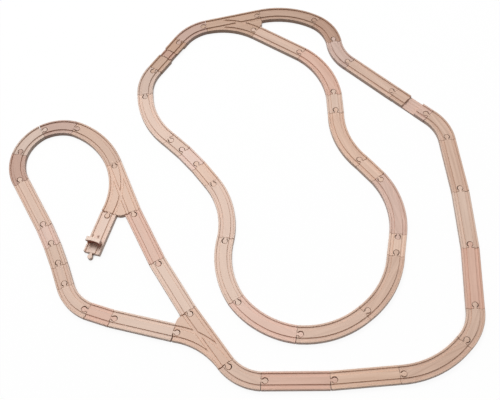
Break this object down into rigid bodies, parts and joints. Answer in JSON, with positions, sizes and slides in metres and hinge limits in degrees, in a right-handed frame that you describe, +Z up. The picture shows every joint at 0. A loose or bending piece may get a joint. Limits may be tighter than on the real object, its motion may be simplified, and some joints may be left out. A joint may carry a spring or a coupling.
{
  "type": "toy railway track layout",
  "caption": "Wooden toy railway laid flat: loops of grooved track joined by a link line, with switches, telescoping pieces and a stopped spur, held together by round pegs in keyhole sockets.",
  "frame": {"origin": "centre of the layout on the floor, at the middle of its bounding box in plan and at the undersides of the boards", "axes": "+X to the right and +Y away from the viewer as the layout is pictured, +Z up from the floor"},
  "size_m": [1.0964, 1.0692, 0.0326],
  "materials": {
    "beech_1": "clear satin",
    "beech_2": "clear satin",
    "beech_3": "clear satin",
    "beech_4": "clear satin",
    "beech_pink": "clear satin",
    "beech_tan": "clear satin"
  },
  "bodies": {
    "base": {"switch_pear": "beech_3", "link_expander_sleeve": "beech_2", "link_expander_pin": "beech_3", "pear_expander_sleeve": "beech_1", "pear_expander_pin": "beech_2"},
    "link_half": {"link_expander_tongue": "beech_4"},
    "pear_slider": {"pear_expander_tongue": "beech_3"},
    "pear_bend": {"pear_large_curve_1": "beech_2"},
    "pear_far_bend": {"pear_large_curve_5": "beech_1"},
    "cross_straight_1": {"cross_straight_1": "beech_3"},
    "cross_straight_2": {"cross_straight_2": "beech_4"},
    "drop_large_curve_1": {"drop_large_curve_1": "beech_1"},
    "drop_short_1": {"drop_short_1": "beech_4"},
    "drop_short_2": {"drop_short_2": "beech_2"},
    "drop_short_3": {"drop_short_3": "beech_3"},
    "drop_short_4": {"drop_short_4": "beech_4"},
    "drop_small_curve_1": {"drop_small_curve_1": "beech_1"},
    "drop_small_curve_2": {"drop_small_curve_2": "beech_pink"},
    "drop_small_curve_3": {"drop_small_curve_3": "beech_3"},
    "drop_small_curve_4": {"drop_small_curve_4": "beech_4"},
    "drop_straight_1": {"drop_straight_1": "beech_3"},
    "drop_straight_2": {"drop_straight_2": "beech_1"},
    "link_large_curve_1": {"link_large_curve_1": "beech_2"},
    "link_large_curve_2": {"link_large_curve_2": "beech_2"},
    "link_small_curve_1": {"link_small_curve_1": "beech_tan"},
    "link_small_curve_2": {"link_small_curve_2": "beech_4"},
    "link_small_curve_3": {"link_small_curve_3": "beech_1"},
    "link_small_curve_4": {"link_small_curve_4": "beech_1"},
    "link_small_curve_5": {"link_small_curve_5": "beech_1"},
    "link_straight_1": {"link_straight_1": "beech_1"},
    "link_straight_2": {"link_straight_2": "beech_2"},
    "link_straight_3": {"link_straight_3": "beech_3"},
    "link_straight_4": {"link_straight_4": "beech_4"},
    "link_straight_5": {"link_straight_5": "beech_3"},
    "link_straight_6": {"link_straight_6": "beech_4"},
    "pear_expander_filler": {"pear_expander_filler": "beech_4"},
    "pear_large_curve_2": {"pear_large_curve_2": "beech_2"},
    "pear_large_curve_3": {"pear_large_curve_3": "beech_3"},
    "pear_large_curve_4": {"pear_large_curve_4": "beech_4"},
    "pear_large_curve_6": {"pear_large_curve_6": "beech_2"},
    "pear_large_curve_7": {"pear_large_curve_7": "beech_4"},
    "pear_large_curve_8": {"pear_large_curve_8": "beech_2"},
    "pear_large_curve_9": {"pear_large_curve_9": "beech_4"},
    "pear_short_1": {"pear_short_1": "beech_3"},
    "pear_short_2": {"pear_short_2": "beech_4"},
    "pear_short_3": {"pear_short_3": "beech_1"},
    "pear_short_4": {"pear_short_4": "beech_3"},
    "pear_short_5": {"pear_short_5": "beech_1"},
    "pear_short_6": {"pear_short_6": "beech_3"},
    "pear_small_curve_1": {"pear_small_curve_1": "beech_4"},
    "pear_small_curve_2": {"pear_small_curve_2": "beech_1"},
    "pear_straight_1": {"pear_straight_1": "beech_1"},
    "spur_track": {"spur_track": "beech_1", "stop_post": "beech_2", "stop_beam": "beech_3", "buffer_left": "beech_4", "buffer_right": "beech_1"},
    "switch_drop": {"switch_drop": "beech_2"},
    "switch_spur": {"switch_spur": "beech_2"}
  },
  "joints": [
    {"name": "adjust_link", "type": "slide", "parent": "base", "child": "link_half", "axis": [0.6388, -0.7694, 0], "range_m": [-0.004, 0.01]},
    {"name": "adjust_pear", "type": "slide", "parent": "base", "child": "pear_slider", "axis": [-0.6636, -0.7481, 0], "range_m": [-0.0004, 0.008]},
    {"name": "flex_bend", "type": "hinge", "parent": "pear_slider", "child": "pear_bend", "pos_m": [-0.19636, 0.29599, 0.006], "axis": [0, 0, 1], "range_deg": [-0.06, 1.17]},
    {"name": "flex_far_bend", "type": "hinge", "parent": "pear_bend", "child": "pear_far_bend", "pos_m": [0.10072, -0.39715, 0.006], "axis": [0, 0, 1], "range_deg": [-0.594, 0.034]},
    {"name": "lift_cross_straight_1", "type": "slide", "parent": "link_half", "child": "cross_straight_1", "axis": [0, 0, 1], "range_m": [0, 0.016]},
    {"name": "lift_cross_straight_2", "type": "slide", "parent": "link_half", "child": "cross_straight_2", "axis": [0, 0, 1], "range_m": [0, 0.016]},
    {"name": "lift_drop_large_curve_1", "type": "slide", "parent": "link_half", "child": "drop_large_curve_1", "axis": [0, 0, 1], "range_m": [0, 0.016]},
    {"name": "lift_drop_short_1", "type": "slide", "parent": "link_half", "child": "drop_short_1", "axis": [0, 0, 1], "range_m": [0, 0.016]},
    {"name": "lift_drop_short_2", "type": "slide", "parent": "link_half", "child": "drop_short_2", "axis": [0, 0, 1], "range_m": [0, 0.016]},
    {"name": "lift_drop_short_3", "type": "slide", "parent": "link_half", "child": "drop_short_3", "axis": [0, 0, 1], "range_m": [0, 0.016]},
    {"name": "lift_drop_short_4", "type": "slide", "parent": "link_half", "child": "drop_short_4", "axis": [0, 0, 1], "range_m": [0, 0.016]},
    {"name": "lift_drop_small_curve_1", "type": "slide", "parent": "link_half", "child": "drop_small_curve_1", "axis": [0, 0, 1], "range_m": [0, 0.016]},
    {"name": "lift_drop_small_curve_2", "type": "slide", "parent": "link_half", "child": "drop_small_curve_2", "axis": [0, 0, 1], "range_m": [0, 0.016]},
    {"name": "lift_drop_small_curve_3", "type": "slide", "parent": "link_half", "child": "drop_small_curve_3", "axis": [0, 0, 1], "range_m": [0, 0.016]},
    {"name": "lift_drop_small_curve_4", "type": "slide", "parent": "link_half", "child": "drop_small_curve_4", "axis": [0, 0, 1], "range_m": [0, 0.016]},
    {"name": "lift_drop_straight_1", "type": "slide", "parent": "link_half", "child": "drop_straight_1", "axis": [0, 0, 1], "range_m": [0, 0.016]},
    {"name": "lift_drop_straight_2", "type": "slide", "parent": "link_half", "child": "drop_straight_2", "axis": [0, 0, 1], "range_m": [0, 0.016]},
    {"name": "lift_link_large_curve_1", "type": "slide", "parent": "base", "child": "link_large_curve_1", "axis": [0, 0, 1], "range_m": [0, 0.016]},
    {"name": "lift_link_large_curve_2", "type": "slide", "parent": "link_half", "child": "link_large_curve_2", "axis": [0, 0, 1], "range_m": [0, 0.016]},
    {"name": "lift_link_small_curve_1", "type": "slide", "parent": "base", "child": "link_small_curve_1", "axis": [0, 0, 1], "range_m": [0, 0.016]},
    {"name": "lift_link_small_curve_2", "type": "slide", "parent": "base", "child": "link_small_curve_2", "axis": [0, 0, 1], "range_m": [0, 0.016]},
    {"name": "lift_link_small_curve_3", "type": "slide", "parent": "link_half", "child": "link_small_curve_3", "axis": [0, 0, 1], "range_m": [0, 0.016]},
    {"name": "lift_link_small_curve_4", "type": "slide", "parent": "link_half", "child": "link_small_curve_4", "axis": [0, 0, 1], "range_m": [0, 0.016]},
    {"name": "lift_link_small_curve_5", "type": "slide", "parent": "link_half", "child": "link_small_curve_5", "axis": [0, 0, 1], "range_m": [0, 0.016]},
    {"name": "lift_link_straight_1", "type": "slide", "parent": "base", "child": "link_straight_1", "axis": [0, 0, 1], "range_m": [0, 0.016]},
    {"name": "lift_link_straight_2", "type": "slide", "parent": "link_half", "child": "link_straight_2", "axis": [0, 0, 1], "range_m": [0, 0.016]},
    {"name": "lift_link_straight_3", "type": "slide", "parent": "link_half", "child": "link_straight_3", "axis": [0, 0, 1], "range_m": [0, 0.016]},
    {"name": "lift_link_straight_4", "type": "slide", "parent": "link_half", "child": "link_straight_4", "axis": [0, 0, 1], "range_m": [0, 0.016]},
    {"name": "lift_link_straight_5", "type": "slide", "parent": "link_half", "child": "link_straight_5", "axis": [0, 0, 1], "range_m": [0, 0.016]},
    {"name": "lift_link_straight_6", "type": "slide", "parent": "link_half", "child": "link_straight_6", "axis": [0, 0, 1], "range_m": [0, 0.016]},
    {"name": "lift_pear_expander_filler", "type": "slide", "parent": "pear_slider", "child": "pear_expander_filler", "axis": [0, 0, 1], "range_m": [0, 0.016]},
    {"name": "lift_pear_large_curve_2", "type": "slide", "parent": "pear_bend", "child": "pear_large_curve_2", "axis": [0, 0, 1], "range_m": [0, 0.016]},
    {"name": "lift_pear_large_curve_3", "type": "slide", "parent": "pear_bend", "child": "pear_large_curve_3", "axis": [0, 0, 1], "range_m": [0, 0.016]},
    {"name": "lift_pear_large_curve_4", "type": "slide", "parent": "pear_bend", "child": "pear_large_curve_4", "axis": [0, 0, 1], "range_m": [0, 0.016]},
    {"name": "lift_pear_large_curve_6", "type": "slide", "parent": "pear_far_bend", "child": "pear_large_curve_6", "axis": [0, 0, 1], "range_m": [0, 0.016]},
    {"name": "lift_pear_large_curve_7", "type": "slide", "parent": "pear_far_bend", "child": "pear_large_curve_7", "axis": [0, 0, 1], "range_m": [0, 0.016]},
    {"name": "lift_pear_large_curve_8", "type": "slide", "parent": "pear_far_bend", "child": "pear_large_curve_8", "axis": [0, 0, 1], "range_m": [0, 0.016]},
    {"name": "lift_pear_large_curve_9", "type": "slide", "parent": "pear_far_bend", "child": "pear_large_curve_9", "axis": [0, 0, 1], "range_m": [0, 0.016]},
    {"name": "lift_pear_short_1", "type": "slide", "parent": "pear_bend", "child": "pear_short_1", "axis": [0, 0, 1], "range_m": [0, 0.016]},
    {"name": "lift_pear_short_2", "type": "slide", "parent": "pear_bend", "child": "pear_short_2", "axis": [0, 0, 1], "range_m": [0, 0.016]},
    {"name": "lift_pear_short_3", "type": "slide", "parent": "pear_bend", "child": "pear_short_3", "axis": [0, 0, 1], "range_m": [0, 0.016]},
    {"name": "lift_pear_short_4", "type": "slide", "parent": "pear_far_bend", "child": "pear_short_4", "axis": [0, 0, 1], "range_m": [0, 0.016]},
    {"name": "lift_pear_short_5", "type": "slide", "parent": "pear_far_bend", "child": "pear_short_5", "axis": [0, 0, 1], "range_m": [0, 0.016]},
    {"name": "lift_pear_short_6", "type": "slide", "parent": "pear_far_bend", "child": "pear_short_6", "axis": [0, 0, 1], "range_m": [0, 0.016]},
    {"name": "lift_pear_small_curve_1", "type": "slide", "parent": "base", "child": "pear_small_curve_1", "axis": [0, 0, 1], "range_m": [0, 0.016]},
    {"name": "lift_pear_small_curve_2", "type": "slide", "parent": "pear_slider", "child": "pear_small_curve_2", "axis": [0, 0, 1], "range_m": [0, 0.016]},
    {"name": "lift_pear_straight_1", "type": "slide", "parent": "pear_far_bend", "child": "pear_straight_1", "axis": [0, 0, 1], "range_m": [0, 0.016]},
    {"name": "lift_spur_track", "type": "slide", "parent": "link_half", "child": "spur_track", "axis": [0, 0, 1], "range_m": [0, 0.016]},
    {"name": "lift_switch_drop", "type": "slide", "parent": "link_half", "child": "switch_drop", "axis": [0, 0, 1], "range_m": [0, 0.016]},
    {"name": "lift_switch_spur", "type": "slide", "parent": "link_half", "child": "switch_spur", "axis": [0, 0, 1], "range_m": [0, 0.016]}
  ],
  "couplings": [
    {"joint": "flex_bend", "follows": "adjust_pear", "rad_per_m": 2.4927},
    {"joint": "flex_far_bend", "follows": "adjust_pear", "rad_per_m": -1.2604}
  ]
}
